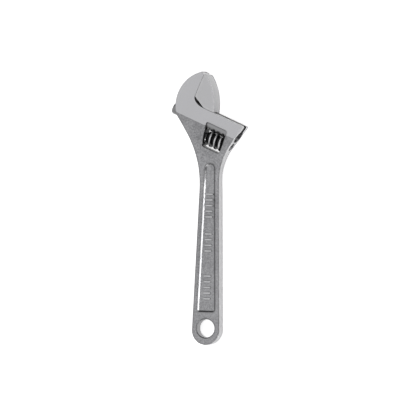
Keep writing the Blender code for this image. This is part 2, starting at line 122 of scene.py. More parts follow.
# Jaws
FIXED_BACK_RADIUS = 19.2
FIXED_BACK_CENTRE = (9.4, 2.4)
FIXED_TIP_RADIUS = 1.6
THROAT_WIDTH = 7.3
THROAT_HEIGHT = 4.2
JAW_HALF = 4.96
JAW_BACK_RADIUS = 30.35
JAW_BACK_CENTRE = (-15.84, -7.17)
JAW_TIP_RADIUS = 1.2
JAW_TIP_FLAT = 3.6
JAW_ROUNDING = 0.15
JAW_CONTACT_ROUNDING = 0.08
JAW_CONTACT = 0.1
JAW_TIP_CONTACT = 0.04

# Shank, web and rack of the movable jaw
SHANK_RADIUS = 3.3
SHANK_B = -6.9
SHANK_LEFT = -10.2
SHANK_RIGHT = 25.9
SHANK_CHAMFER = 1.1
WEB_HALF = 1.45
WEB_LEFT = 1.4
WEB_RIGHT = 13.4
JAW_TRAVEL = 19.0

# Worm, window, pin and spring
PITCH = 3.0
WORM_RADIUS = 4.95
WORM_ROOT = 2.85
WORM_B = -13.35
WORM_LEFT = 14.7
WORM_LENGTH = 9.9
CREST_WIDTH = 0.85
THREAD_BASE_WIDTH = 1.5
FLANK_GAP = 0.25
SERRATIONS = 34
SERRATION_DEPTH = 0.13
STEPS_PER_NOTCH = 4
STEPS_ACROSS = 27
MERGE_GAP = 0.004
WORM_CHAMFER = 0.45
WORM_CHAMFER_SLOPE = 0.9
END_FACE_SLOPE = 9.0
WINDOW_RIGHT = 25.0
WINDOW_LEFT = 14.3
WINDOW_SLANT = 2.6
WINDOW_TOP = -6.0
WINDOW_BOTTOM = -19.2
WINDOW_CORNER = 1.2
WINDOW_ROUNDING = 0.45
PIN_RADIUS = 1.2
PIN_HEAD_RADIUS = 2.1
PIN_HEAD_LENGTH = 3.2
PIN_SLOT_WIDTH = 0.7
PIN_SLOT_DEPTH = 0.9
PIN_LEFT = 9.2
PIN_CHAMFER = 0.25
PIN_SINK = 0.7
PIN_RIGHT = SIDE_A + (GUIDE_END - SIDE_A) * (1 + WORM_B / LIP_DROP) - PIN_SINK
SPRING_WIRE_RADIUS = 0.2
SPRING_TURNS = 3.0
SPRING_POCKET_DEPTH = 3.0
SPRING_POCKET_RADIUS = 2.2

# Polish and painted shade on the surfaces: strengths from 0 to 1, and the reaches of their fades
FACE_POLISH = 0.12
FACE_POLISH_REACH = 0.5
WALL_POLISH = 0.45
BAR_POLISH = 0.55
JAW_POLISH_REACH = 0.5
CREST_BAND = 0.5
# Strengths of the painted shade laid into corners, gaps, rims and along the handle's edges
DEEP_SHADE = 0.95
WINDOW_WALL_SHADE = 0.85
WINDOW_RIM_SHADE = 0.55
RECESS_RIM_SHADE = 0.55
RECESS_FLOOR_SHADE = 0.08
HOLE_SHADE = 0.6
SIDE_SHADE = 0.42
SHANK_SHADE = 0.36
BAR_FOOT_SHADE = 0.9
UNSHADED_RIM = 0.15
THROAT_FADE = 0.3
THROAT_MARGIN = 0.2
THROAT_TOP = 6.0
THROAT_WALL = 0.05
# Colour and roughness of the painted shade
PAINTED_SHADE_COLOUR = (0.012, 0.012, 0.013, 1)
PAINTED_SHADE_ROUGHNESS = 0.55
WORN_SMOOTHING = 0.85

FLOOR_HALF = 4.0
FLOOR_LIFT = 0.4
FLOOR_GLOW = 0.3
EDGE_SPACING = 0.5
FINE_SPACING = 0.4
BODY_SPACING = 0.95
JAW_SPACING = 1.1
ARC_STEP = math.radians(3.0)
ROUND_SIDES = 64
OVERSHOOT = 2.0

# ---- places, all read from the frame

RECORD = frame["record"]
JOINTS = {joint["name"]: joint for joint in frame["joints"]}
HOLE_BOX = RECORD["physics"]["openings"][0]["box_m"]
HOLE = (Vector(HOLE_BOX[0]) + Vector(HOLE_BOX[1])) / 2
HOLE.z = (CAD_LOW.z + CAD_HIGH.z) / 2
ALONG = Vector(JOINTS["jaw_slide"]["axis"]).to_2d().normalized()
ACROSS = Vector((-ALONG.y, ALONG.x))
HEAD_TURN = math.atan2(ALONG.y, ALONG.x)
WORM_MIDDLE = Vector(JOINTS["worm_spin"]["pos_m"])
HEAD_ORIGIN = (WORM_MIDDLE - HOLE).to_2d() / MM - ALONG * (WORM_LEFT + WORM_LENGTH / 2) - ACROSS * WORM_B


def head(a, b):
    """A point of the head's frame, in the drawing's frame."""
    return HEAD_ORIGIN + ALONG * a + ACROSS * b


def placed(obj):
    """Takes a mesh drawn in millimetres to its place in the frame, and leaves the object at the origin."""
    obj.data.transform(Matrix.Translation(HOLE) @ Matrix.Scale(MM, 4))
    return obj


def in_head(obj, b):
    """Turns a mesh drawn along the head's guide at height b into the drawing's frame."""
    origin = head(0, b)
    obj.data.transform(Matrix.Translation((origin.x, origin.y, 0)) @ Matrix.Rotation(HEAD_TURN, 4, "Z"))
    return obj


# ---- outlines

def arc(centre, radius, start, end, step=ARC_STEP):
    count = max(2, math.ceil(abs(end - start) / step))
    angles = [start + (end - start) * i / count for i in range(count + 1)]
    return [Vector((centre[0] + radius * math.cos(t), centre[1] + radius * math.sin(t))) for t in angles]


def rounded(corners):
    """A closed outline whose corners, given as (point, radius), become tangent arcs."""
    points = []
    count = len(corners)
    for i, (corner, radius) in enumerate(corners):
        corner = Vector(corner)
        if radius == 0:
            points.append(corner)
            continue
        before = (Vector(corners[i - 1][0]) - corner).normalized()
        after = (Vector(corners[(i + 1) % count][0]) - corner).normalized()
        half = math.acos(max(-1.0, min(1.0, before.dot(after)))) / 2
        centre = corner + (before + after).normalized() * (radius / math.sin(half))
        first = corner + before * (radius / math.tan(half)) - centre
        last = corner + after * (radius / math.tan(half)) - centre
        start = math.atan2(first.y, first.x)
        sweep = math.atan2(first.x * last.y - first.y * last.x, first.dot(last))
        points += arc(centre, radius, start, start + sweep)
    return points


def spaced(points, spacing):
    """The closed outline with no two neighbours further apart than spacing."""
    result = []
    for here, there in zip(points, points[1:] + points[:1]):
        count = max(1, math.ceil((there - here).length / spacing))
        if (there - here).length < 1e-4:
            continue
        result += [here.lerp(there, i / count) for i in range(count)]
    return result


def meet(point, direction, other, other_direction):
    across = direction.x * other_direction.y - direction.y * other_direction.x
    gap = other - point
    return point + direction * ((gap.x * other_direction.y - gap.y * other_direction.x) / across)


def handle_side(sign):
    """A point and a direction on the handle's tapered side, and the angle of its taper."""
    rise = HEAD_ORIGIN.y - WAIST_BELOW_HEAD + END_DROP
    reach = math.hypot(rise, WAIST_HALF_WIDTH)
    taper = math.asin(END_RADIUS / reach) - math.atan2(WAIST_HALF_WIDTH, rise)
    touch = Vector((0, -END_DROP)) + END_RADIUS * Vector((sign * math.cos(taper), math.sin(taper)))
    return touch, Vector((-sign * math.sin(taper), math.cos(taper))), taper


def body_outline():
    left, left_direction, taper = handle_side(-1)
    right, right_direction, _ = handle_side(1)
    corners = [(point, 0) for point in arc((0, -END_DROP), END_RADIUS, math.pi - taper, 2 * math.pi + taper)]
    corners.append((meet(right, right_direction, head(SIDE_A, 0), ACROSS), NECK_RIGHT_RADIUS))
    corners.append((head(SIDE_A, -LIP_DROP), NECK_SIDE_RADIUS))
    corners.append((head(GUIDE_END, GUIDE_RAISE), GUIDE_LIP_RADIUS))
    for point in arc((0, 0), 1.0, 0, math.pi / 2):
        corners.append((head(THROAT_WIDTH * (1 - point.y), GUIDE_RAISE + THROAT_HEIGHT * (1 - point.x)), 0))
    tip_angle = math.acos(-FIXED_BACK_CENTRE[0] / FIXED_BACK_RADIUS)
    corner_rise = (-HEAD_CORNER_DROP - FIXED_BACK_CENTRE[1]) / FIXED_BACK_RADIUS
    back = arc(FIXED_BACK_CENTRE, FIXED_BACK_RADIUS, tip_angle, math.pi - math.asin(corner_rise), ARC_STEP * 2)
    corners.append((head(*back[0]), FIXED_TIP_RADIUS))
    corners += [(head(*point), 0) for point in back[1:-1]]
    corners.append((head(*back[-1]), HEAD_CORNER_RADIUS))
    neck = Vector((math.sin(NECK_LEAN), -math.cos(NECK_LEAN)))
    corners.append((meet(left, left_direction, head(*back[-1]), neck), NECK_LEFT_RADIUS))
    return rounded(corners)


def recess_outline():
    left, direction, taper = handle_side(-1)
    rim = left + Vector((math.cos(taper), math.sin(taper))) * RECESS_RIM
    top = HEAD_ORIGIN.y - RECESS_BELOW_HEAD

    def half_width(y):
        return -meet(rim, direction, Vector((0, y)), Vector((1, 0))).x

    low, high = half_width(RECESS_ABOVE_HOLE), half_width(top)
    return rounded([((-low, RECESS_ABOVE_HOLE), RECESS_CORNER), ((low, RECESS_ABOVE_HOLE), RECESS_CORNER),
                    ((high, top), high * 0.97), ((-high, top), high * 0.97)])


def window_outline():
    corners = [(WINDOW_LEFT, WINDOW_BOTTOM), (WINDOW_RIGHT, WINDOW_BOTTOM), (WINDOW_RIGHT, WINDOW_TOP),
               (WINDOW_LEFT - WINDOW_SLANT, WINDOW_TOP)]
    return rounded([(head(*corner), WINDOW_CORNER) for corner in corners])


def jaw_outline():
    centre_a, centre_b = JAW_BACK_CENTRE
    sole_angle = math.asin((GAP - centre_b) / JAW_BACK_RADIUS)
    tip_angle = math.acos((JAW_TIP_CONTACT - centre_a) / JAW_BACK_RADIUS)
    back = arc(JAW_BACK_CENTRE, JAW_BACK_RADIUS, sole_angle, tip_angle - JAW_TIP_FLAT / JAW_BACK_RADIUS)
    tip = (JAW_TIP_CONTACT, centre_b + JAW_BACK_RADIUS * math.sin(tip_angle))
    corners = [((THROAT_WIDTH, GAP), 0)] + [(point, 0) for point in back]
    corners += [(tip, JAW_TIP_RADIUS), ((JAW_CONTACT, THROAT_HEIGHT), 0)]
    return [head(*point) for point in rounded(corners)]


# ---- distances on the drawing

def as_array(points):
    return np.array([(point[0], point[1]) for point in points], float)


def distance(places, outline, closed=True):
    """Distance from each place to an outline."""
    starts = as_array(outline)
    ends = np.roll(starts, -1, axis=0)
    if not closed:
        starts, ends = starts[:-1], ends[:-1]
    edges = ends - starts
    lengths = np.maximum((edges ** 2).sum(1), 1e-12)
    best = np.full(len(places), np.inf)
    for chunk in range(0, len(places), 2000):
        part = places[chunk:chunk + 2000, None, :] - starts[None]
        share = np.clip((part * edges[None]).sum(2) / lengths, 0, 1)
        away = part - edges[None] * share[..., None]
        best[chunk:chunk + 2000] = np.sqrt((away ** 2).sum(2).min(1))
    return best


def inside(places, outline):
    """Whether each place lies inside a closed outline."""
    starts = as_array(outline)
    ends = np.roll(starts, -1, axis=0)
    result = np.zeros(len(places), bool)
    for (x0, y0), (x1, y1) in zip(starts, ends):
        if y0 == y1:
            continue
        crosses = (places[:, 1] >= min(y0, y1)) & (places[:, 1] < max(y0, y1))
        at = x0 + (places[:, 1] - y0) * (x1 - x0) / (y1 - y0)
        result ^= crosses & (places[:, 0] < at)
    return result


def rings(outline, offsets, spacing):
    """Places beside an outline at each offset on both sides of it."""
    points = as_array(spaced(outline, spacing))
    ahead = np.roll(points, -1, axis=0) - np.roll(points, 1, axis=0)
    ahead /= np.maximum(np.linalg.norm(ahead, axis=1), 1e-9)[:, None]
    normal = np.stack([-ahead[:, 1], ahead[:, 0]], 1)
    found = []
    for offset in offsets:
        places = points + normal * offset
        away = distance(places, outline)
        found.append(places[away > abs(offset) * 0.985])
    return np.concatenate(found)


def drop(away, radius):
    """How far a rounded edge has fallen at a distance from its outline."""
    inner = np.clip(radius - away, 0, radius)
    return radius - np.sqrt(np.maximum(radius ** 2 - inner ** 2, 0))


def eased(share, ease):
    """A straight ramp from 0 to 1 with a short curve at both ends."""
    slope = 1 / (1 - ease)
    start = slope * np.minimum(share, ease) ** 2 / (2 * ease)
    middle = slope * np.clip(share - ease, 0, 1 - 2 * ease)
    end = np.clip(share - 1 + ease, 0, ease)
    return start + middle + slope * (end - end ** 2 / (2 * ease))


def quarter_steps(radius, count=6):
    return [radius * (1 - math.cos(math.pi / 2 * i / count)) for i in range(1, count + 1)]


# ---- meshes

def new_object(name, data):
    obj = bpy.data.objects.new(name, data)
    bpy.context.scene.collection.objects.link(obj)
    return obj


def new_mesh(name, corners, faces=()):
    mesh = bpy.data.meshes.new(name)
    mesh.from_pydata(corners, [], faces)
    return mesh


def relief_plate(name, outline, openings, places, height):
    """A plate with the same relief on both faces: height gives half its thickness at each place."""
    loops = [outline] + openings
    fixed = [(point[0], point[1]) for loop in loops for point in loop]
    edges = []
    start = 0
    for loop in loops:
        edges += [(start + i, start + (i + 1) % len(loop)) for i in range(len(loop))]
        start += len(loop)
    keep = inside(places, outline) & (distance(places, outline) > 0.012)
    for opening in openings:
        keep &= ~inside(places, opening) & (distance(places, opening) > 0.012)
    points = [Vector(point) for point in fixed] + [Vector(place) for place in places[keep]]
    flat, _, triangles, _, _, _ = delaunay_2d_cdt(points, edges, [], 0, 1e-5)
    flat = as_array(flat)
    triangles = np.array([face for face in triangles if len(face) == 3])
    middles = flat[triangles].mean(1)
    solid = inside(middles, outline)
    for opening in openings:
        solid &= ~inside(middles, opening)
    triangles = triangles[solid]
    corners = flat[triangles]
    first, second = corners[:, 1] - corners[:, 0], corners[:, 2] - corners[:, 0]
    flipped = first[:, 0] * second[:, 1] - first[:, 1] * second[:, 0] < 0
    triangles[flipped] = triangles[flipped][:, ::-1]

    level = height(flat)
    count = len(flat)
    verts = np.concatenate([np.column_stack([flat, level]), np.column_stack([flat, -level])])
    faces = triangles.tolist() + (triangles[:, ::-1] + count).tolist()
    seen = {}
    for triangle in triangles:
        for here, there in zip(triangle, np.roll(triangle, -1)):
            seen[(int(here), int(there))] = True
    for here, there in seen:
        if (there, here) not in seen:
            faces.append((there, here, here + count, there + count))
    mesh = new_mesh(name, verts.tolist(), faces)
    bm = bmesh.new()
    bm.from_mesh(mesh)
    bmesh.ops.delete(bm, geom=[vert for vert in bm.verts if not vert.link_faces], context="VERTS")
    bm.to_mesh(mesh)
    bm.free()
    return new_object(name, mesh)


def prism(name, outline, low, high):
    bm = bmesh.new()
    face = bm.faces.new([bm.verts.new((point[0], point[1], low)) for point in outline])
    grown = bmesh.ops.extrude_face_region(bm, geom=[face])
    moved = [item for item in grown["geom"] if isinstance(item, bmesh.types.BMVert)]
    bmesh.ops.translate(bm, verts=moved, vec=(0, 0, high - low))
    return finished(name, bm)


def finished(name, bm):
    bmesh.ops.recalc_face_normals(bm, faces=bm.faces)
    mesh = bpy.data.meshes.new(name)
    bm.to_mesh(mesh)
    bm.free()
    return new_object(name, mesh)


def turned(name, profile, sides=ROUND_SIDES):
    """A round piece along X. The profile lists (x, radius) and starts and ends on the axis."""
    bm = bmesh.new()
    circles = []
    for x, radius in profile:
        angles = [0] if radius == 0 else [2 * math.pi * i / sides for i in range(sides)]
        circles.append([bm.verts.new((x, radius * math.cos(t), radius * math.sin(t))) for t in angles])
    for near, far in zip(circles, circles[1:]):
        for i in range(sides):
            j = (i + 1) % sides
            ring = [near[i % len(near)], far[i % len(far)], far[j % len(far)], near[j % len(near)]]
            bm.faces.new(list(dict.fromkeys(ring)))
    return finished(name, bm)


def bake(obj):
    """Puts the result of an object's modifier in place of its mesh."""
    graph = bpy.context.evaluated_depsgraph_get()
    result = bpy.data.meshes.new_from_object(obj.evaluated_get(graph))
    obj.modifiers.clear()
    old = obj.data
    obj.data = result
    bpy.data.meshes.remove(old)
    return obj


def combine(obj, tool, operation):
    """Applies an exact Boolean and removes the tool."""
    modifier = obj.modifiers.new("combine", "BOOLEAN")
    modifier.operation = operation
    modifier.solver = "EXACT"
    modifier.object = tool
    bake(obj)
    bpy.data.objects.remove(tool, do_unlink=True)


def cut(obj, tool, b):
    """Cuts away a tool drawn along the head's guide at height b."""
    combine(obj, in_head(tool, b), "DIFFERENCE")


def smooth(obj, angle=38):
    obj.data.shade_smooth()
    obj.data.set_sharp_from_angle(angle=math.radians(angle))
    return obj


# ---- body

BODY_OUTLINE = spaced(body_outline(), 0.55)
RECESS_OUTLINE = recess_outline()
WINDOW_OUTLINE = spaced(window_outline(), FINE_SPACING)
HOLE_OUTLINE = arc((0, 0), HOLE_RADIUS, 0, 2 * math.pi, math.radians(4))[:-1]


def head_parts(places):
    """The a and b of each place."""
    moved = places - np.array(HEAD_ORIGIN)
    return moved @ np.array(ALONG), moved @ np.array(ACROSS)


def outline_parts():
    """The body's outline in three runs: ground faces, right side, and the rest."""
    a, b = head_parts(as_array(BODY_OUTLINE))
    count = len(BODY_OUTLINE)
    lip = int(np.argmax(a + 0.01 * b))
    tip = max((i for i in range(count) if abs(a[i]) < 1.2), key=lambda i: b[i])
    neck = min(range(lip), key=lambda i: abs(b[i] + NECK_STATIONS[-1][0]) + 100 * (BODY_OUTLINE[i].x < 0))
    foot = max(range(neck), key=lambda i: BODY_OUTLINE[i].x - 0.02 * abs(BODY_OUTLINE[i].y + END_DROP))
    return (BODY_OUTLINE[lip:tip + 1], BODY_OUTLINE[neck:lip + 1], BODY_OUTLINE[foot:neck + 1],
            BODY_OUTLINE[tip:] + BODY_OUTLINE[:foot + 1])


FACE_RUN, SIDE_RUN, LOW_SIDE_RUN, REST_RUN = outline_parts()


def neck_half(b):
    """Half the thickness at each b: level on the head, hollowed below the band, level on the handle."""
    drops = np.array([station[0] for station in NECK_STATIONS])
    halves = np.array([station[1] for station in NECK_STATIONS])
    reach = 1.6
    samples = np.linspace(-reach, reach, 9)
    below = np.mean([np.interp(-b + shift, drops, halves) for shift in samples], axis=0)
    blend = np.clip((-b - BAND_HEIGHT) / reach, 0, 1)
    return np.interp(-b, drops, halves) * (1 - blend) + below * blend


def body_height(places):
    a, b = head_parts(places)
    level = neck_half(b)
    rest_radius = np.interp(b, [HANDLE_B, -BAND_HEIGHT], [HANDLE_ROUNDING, BACK_ROUNDING])
    beside = distance(places, SIDE_RUN, False)
    beside_low = distance(places, LOW_SIDE_RUN, False)
    bevel = np.interp(b, [HANDLE_B, BEVEL_B, -2, 0], [HANDLE_BEVEL, HEAD_BEVEL, HEAD_BEVEL, LIP_BEVEL])
    slope = np.interp(b, [HANDLE_B, BEVEL_B], [HANDLE_BEVEL_SLOPE, HEAD_BEVEL_SLOPE])
    falls = [drop(distance(places, REST_RUN, False), rest_radius), drop(beside, SIDE_ROUNDING),
             (bevel - beside) * slope, (HANDLE_BEVEL - beside_low) * HANDLE_BEVEL_SLOPE,
             drop(distance(places, FACE_RUN, False), FACE_ROUNDING),
             drop(distance(places, HOLE_OUTLINE), HOLE_ROUNDING),
             drop(distance(places, WINDOW_OUTLINE), WINDOW_ROUNDING)]
    depth = np.maximum(level - RECESS_FLOOR, 0)
    share = np.clip(distance(places, RECESS_OUTLINE) / RECESS_WALL, 0, 1) * inside(places, RECESS_OUTLINE)
    return level - np.maximum.reduce(falls) - depth * eased(share, RECESS_EASE)


def grid(outline, spacing):
    """Places on a triangular grid over an outline's box."""
    points = as_array(outline)
    low, high = points.min(0), points.max(0)
    rows = []
    row_gap = spacing * math.sqrt(3) / 2
    for row in range(math.ceil((high[1] - low[1]) / row_gap)):
        xs = np.arange(low[0] + (row % 2) * spacing / 2, high[0], spacing)
        rows.append(np.column_stack([xs, np.full(len(xs), low[1] + row * row_gap)]))
    return np.concatenate(rows)


def make_body():
    band_a = np.arange(-9, GUIDE_END, EDGE_SPACING)
    band = [head(a, -BAND_HEIGHT - below) for below in BAND_STEPS for a in band_a]
    beside = [rings(BODY_OUTLINE, quarter_steps(HANDLE_ROUNDING), EDGE_SPACING),
              rings(SIDE_RUN, BEVEL_STEPS, EDGE_SPACING), rings(LOW_SIDE_RUN, BEVEL_STEPS[:8], EDGE_SPACING),
              rings(HOLE_OUTLINE, [-step for step in quarter_steps(HOLE_ROUNDING)], FINE_SPACING),
              rings(WINDOW_OUTLINE, [-step for step in quarter_steps(WINDOW_ROUNDING, 4)], FINE_SPACING),
              rings(RECESS_OUTLINE, [RECESS_WALL * i / 9 for i in range(11)], 0.55), as_array(band)]
    crowded = np.concatenate(beside)
    open_places = grid(BODY_OUTLINE, BODY_SPACING)
    loops = (BODY_OUTLINE, WINDOW_OUTLINE, HOLE_OUTLINE)
    near = np.min([distance(open_places, loop) for loop in loops], axis=0)
    near_recess = distance(open_places, RECESS_OUTLINE)
    in_wall = inside(open_places, RECESS_OUTLINE) & (near_recess < RECESS_WALL + 0.5) | (near_recess < 0.4)
    b = head_parts(open_places)[1]
    in_band = (b < -BAND_HEIGHT + 0.4) & (b > -BAND_HEIGHT - 2.4)
    places = np.concatenate([crowded, open_places[(near > 1.3) & ~in_wall & ~in_band]])
    body = relief_plate("wrench_body", BODY_OUTLINE, [WINDOW_OUTLINE, HOLE_OUTLINE], places, body_height)

    far = GUIDE_END + OVERSHOOT
    bore_radius = SHANK_RADIUS + GAP
    left = SHANK_LEFT - OVERSHOOT
    bore = turned("bore", [(left, 0), (left, bore_radius), (far, bore_radius), (far, 0)])
    cut(body, bore, SHANK_B)
    slot_left, half = WEB_LEFT - GAP, WEB_HALF + GAP
    slot = prism("slot", [(slot_left, 0), (far, 0), (far, 14), (slot_left, 14)], -half, half)
    cut(body, slot, SHANK_B)
    shoulder = PIN_RIGHT - PIN_HEAD_LENGTH - GAP
    hole = PIN_RADIUS + GAP
    mouth = PIN_HEAD_RADIUS + GAP
    pin_hole = turned("pin_hole", [(PIN_LEFT - GAP, 0), (PIN_LEFT - GAP, hole), (shoulder, hole),
                                   (shoulder, mouth), (far, mouth), (far, 0)])
    cut(body, pin_hole, WORM_B)
    return smooth(body)


# ---- movable jaw

def make_jaw():
    """The jaw plate with its web, and the shank with its rack, joined into one piece."""
    outline = spaced(jaw_outline(), EDGE_SPACING)
    contact = [head(JAW_TIP_CONTACT, 2 * THROAT_WIDTH), head(JAW_CONTACT, THROAT_HEIGHT),
               head(THROAT_WIDTH, GAP), head(2 * THROAT_WIDTH, GAP)]

    def height(places):
        radius = np.where(distance(places, contact, False) < 0.6, JAW_CONTACT_ROUNDING, JAW_ROUNDING)
        return JAW_HALF - drop(distance(places, outline), radius)

    open_places = grid(outline, JAW_SPACING)
    steps = quarter_steps(JAW_CONTACT_ROUNDING, 3) + quarter_steps(JAW_ROUNDING, 5)
    places = np.concatenate([rings(outline, sorted(steps), EDGE_SPACING),
                             open_places[distance(open_places, outline) > 0.8]])
    jaw = relief_plate("sliding_jaw", outline, [], places, height)

    up = -SHANK_B
    web = prism("web", [(WEB_LEFT, 0), (WEB_RIGHT, 0), (WEB_RIGHT, up + 2 * GAP), (THROAT_WIDTH, up + 2 * GAP),
                        (THROAT_WIDTH - GAP, up), (WEB_LEFT, up - GAP)], -WEB_HALF, WEB_HALF)
    combine(jaw, in_head(web, SHANK_B), "UNION")
    inner = SHANK_RADIUS - SHANK_CHAMFER
    middle = SHANK_RADIUS - SHANK_CHAMFER * 0.3
    shank = turned("shank", [
        (SHANK_LEFT, 0), (SHANK_LEFT, inner), (SHANK_LEFT + SHANK_CHAMFER * 0.3, middle),
        (SHANK_LEFT + SHANK_CHAMFER, SHANK_RADIUS), (SHANK_RIGHT - SHANK_CHAMFER, SHANK_RADIUS),
        (SHANK_RIGHT - SHANK_CHAMFER * 0.3, middle), (SHANK_RIGHT, inner), (SHANK_RIGHT, 0)])
    combine(jaw, in_head(shank, SHANK_B), "UNION")
    cut(jaw, rack_gaps(), SHANK_B)
    return smooth(jaw)


def rack_gaps():
    """The slanted gaps between the rack's teeth."""
    tip = -SHANK_RADIUS - OVERSHOOT
    root = WORM_B - SHANK_B + WORM_RADIUS + GAP
    flank = (THREAD_BASE_WIDTH - CREST_WIDTH) / 2 / (WORM_RADIUS - WORM_ROOT)
    root_half = CREST_WIDTH / 2 + FLANK_GAP
    tip_half = root_half + (root - tip) * flank
    reach = 2 * SHANK_RADIUS
    slant = PITCH / (2 * math.pi * (0.75 * WORM_RADIUS + 0.25 * WORM_ROOT)) * reach
    centre = WORM_LEFT + WORM_LENGTH / 2
    first = math.floor((centre - SHANK_RIGHT) / PITCH)
    last = math.ceil((centre - WORM_LEFT + JAW_TRAVEL) / PITCH)
    bm = bmesh.new()
    for step in range(first, last + 1):
        middle = centre - step * PITCH
        section = [(middle - root_half, root), (middle + root_half, root), (middle + tip_half, tip),
                   (middle - tip_half, tip)]
        near = [bm.verts.new((a - slant, b, -reach)) for a, b in section]
        far = [bm.verts.new((a + slant, b, reach)) for a, b in section]
        bm.faces.new(near)
        bm.faces.new(far)
        for i in range(4):
            j = (i + 1) % 4
            bm.faces.new((near[i], near[j], far[j], far[i]))
    return finished("rack_gaps", bm)


# ---- Geometry Nodes

class Tree:
    """A small builder for a Geometry Nodes tree with named number inputs."""

    def __init__(self, name, inputs):
        self.group = bpy.data.node_groups.new(name, "GeometryNodeTree")
        self.group.interface.new_socket("Geometry", in_out="INPUT", socket_type="NodeSocketGeometry")
        self.values = {}
        for label, value in inputs.items():
            kind = "NodeSocketInt" if isinstance(value, int) else "NodeSocketFloat"
            socket = self.group.interface.new_socket(label, in_out="INPUT", socket_type=kind)
            socket.default_value = value
            self.values[socket.identifier] = value
        self.group.interface.new_socket("Geometry", in_out="OUTPUT", socket_type="NodeSocketGeometry")
        self.source = self.group.nodes.new("NodeGroupInput")

    def node(self, kind, settings=None, **inputs):
        return shade(self.group, kind, settings, **inputs)

    def geometry(self, kind, **inputs):
        return shade(self.group, "GeometryNode" + kind, **inputs).outputs[0]

    def math(self, operation, first, second=0.0, third=0.0):
        return calc(self.group, operation, first, second, third)

    def times(self, first, second):
        return self.math("MULTIPLY", first, second)

    def plus(self, first, second):
        return self.math("ADD", first, second)

    def minus(self, first, second):
        return self.math("SUBTRACT", first, second)

    def __getitem__(self, label):
        return self.source.outputs[label]

    def finish(self, geometry, material):
        realized = self.geometry("RealizeInstances", i0=geometry)
        painted = self.geometry("SetMaterial", Geometry=realized, Material=material)
        end = self.group.nodes.new("NodeGroupOutput")
        self.group.links.new(painted, end.inputs[0])

    def build(self, name, mesh=None):
        """Runs the tree on an object and returns the result as a plain mesh object."""
        obj = new_object(name, mesh or bpy.data.meshes.new(name))
        modifier = obj.modifiers.new("tree", "NODES")
        modifier.node_group = self.group
        for identifier, value in self.values.items():
            modifier[identifier] = value
        return bake(obj)


def make_worm(material):
    """The thumb worm: a grid wrapped into a right-hand thread with a serrated crest and flat ends."""
    turns = math.ceil(WORM_LENGTH / PITCH) + 2
    tree = Tree("worm_thread", {
        "Pitch": PITCH, "Length": WORM_LENGTH, "Crest radius": WORM_RADIUS, "Root radius": WORM_ROOT,
        "Crest width": CREST_WIDTH, "Base width": THREAD_BASE_WIDTH,
        "Serrations": float(SERRATIONS), "Serration depth": SERRATION_DEPTH, "Turns": float(turns),
        "Steps around": turns * SERRATIONS * STEPS_PER_NOTCH + 1, "Steps across": STEPS_ACROSS})
    sheet = tree.geometry("MeshGrid", i0=1.0, i1=1.0, i2=tree["Steps across"], i3=tree["Steps around"])
    place = tree.node("SeparateXYZ", i0=tree.geometry("InputPosition"))
    offset = tree.times(place.outputs[0], tree["Pitch"])
    turn = tree.times(place.outputs[1], tree["Turns"])
    angle = tree.times(turn, 2 * math.pi)
    x = tree.math("MULTIPLY_ADD", turn, tree["Pitch"], offset)

    half_length = tree.times(tree["Length"], 0.5)
    lowest = tree.times(half_length, -1.0)
    end_x = tree.math("MINIMUM", tree.math("MAXIMUM", x, lowest), half_length)
    half_crest = tree.times(tree["Crest width"], 0.5)
    half_base = tree.times(tree["Base width"], 0.5)
    from_thread = tree.minus(end_x, tree.times(turn, tree["Pitch"]))
    side = tree.math("PINGPONG", from_thread, tree.times(tree["Pitch"], 0.5))
    flank = tree.math("DIVIDE", tree.minus(half_base, side), tree.minus(half_base, half_crest))
    rise = tree.node("MapRange", {"interpolation_type": "LINEAR"}, Value=flank).outputs[0]
    depth = tree.minus(tree["Crest radius"], tree["Root radius"])
    radius = tree.math("MULTIPLY_ADD", rise, depth, tree["Root radius"])
    notch = tree.math("PINGPONG", tree.times(turn, tree.times(tree["Serrations"], 2.0)), 1.0)
    groove = tree.times(tree.times(notch, rise), tree["Serration depth"])
    radius = tree.minus(radius, groove)

    beyond = tree.math("MAXIMUM", tree.minus(tree.math("ABSOLUTE", x), half_length), 0.0)
    near_end = tree.minus(tree.math("ABSOLUTE", x), tree.minus(half_length, WORM_CHAMFER))
    near_end = tree.math("MAXIMUM", near_end, 0.0)
    chamfer = tree.math("MULTIPLY_ADD", near_end, -WORM_CHAMFER_SLOPE, tree["Crest radius"])
    ceiling = tree.math("MULTIPLY_ADD", beyond, -END_FACE_SLOPE, chamfer)
    radius = tree.math("MAXIMUM", tree.math("MINIMUM", radius, ceiling), 0.0)
    y = tree.times(radius, tree.math("COSINE", angle))
    z = tree.times(radius, tree.math("SINE", angle))
    spot = tree.node("CombineXYZ", i0=end_x, i1=y, i2=z).outputs[0]
    wrapped = tree.geometry("SetPosition", Geometry=sheet, Position=spot)
    merged = tree.geometry("MergeByDistance", Geometry=wrapped, Distance=MERGE_GAP)
    tree.finish(merged, material)
    worm = tree.build("thumb_worm")
    bm = bmesh.new()
    bm.from_mesh(worm.data)
    worm.data.materials.clear()
    bmesh.ops.dissolve_degenerate(bm, edges=bm.edges, dist=1e-4)
    bmesh.ops.recalc_face_normals(bm, faces=bm.faces)
    bm.to_mesh(worm.data)
    bm.free()
    worm.data.transform(Matrix.Translation((WORM_LEFT + WORM_LENGTH / 2, 0, 0)))
    left, right = WORM_LEFT - OVERSHOOT, WORM_LEFT + WORM_LENGTH + OVERSHOOT
    pocket, bore = WORM_LEFT + WORM_LENGTH - SPRING_POCKET_DEPTH, PIN_RADIUS + GAP
    combine(worm, turned("worm_bore", [(left, 0), (left, bore), (pocket, bore), (pocket, SPRING_POCKET_RADIUS),
                                       (right, SPRING_POCKET_RADIUS), (right, 0)], 48), "DIFFERENCE")
    in_head(worm, WORM_B)
    return smooth(worm, 50)


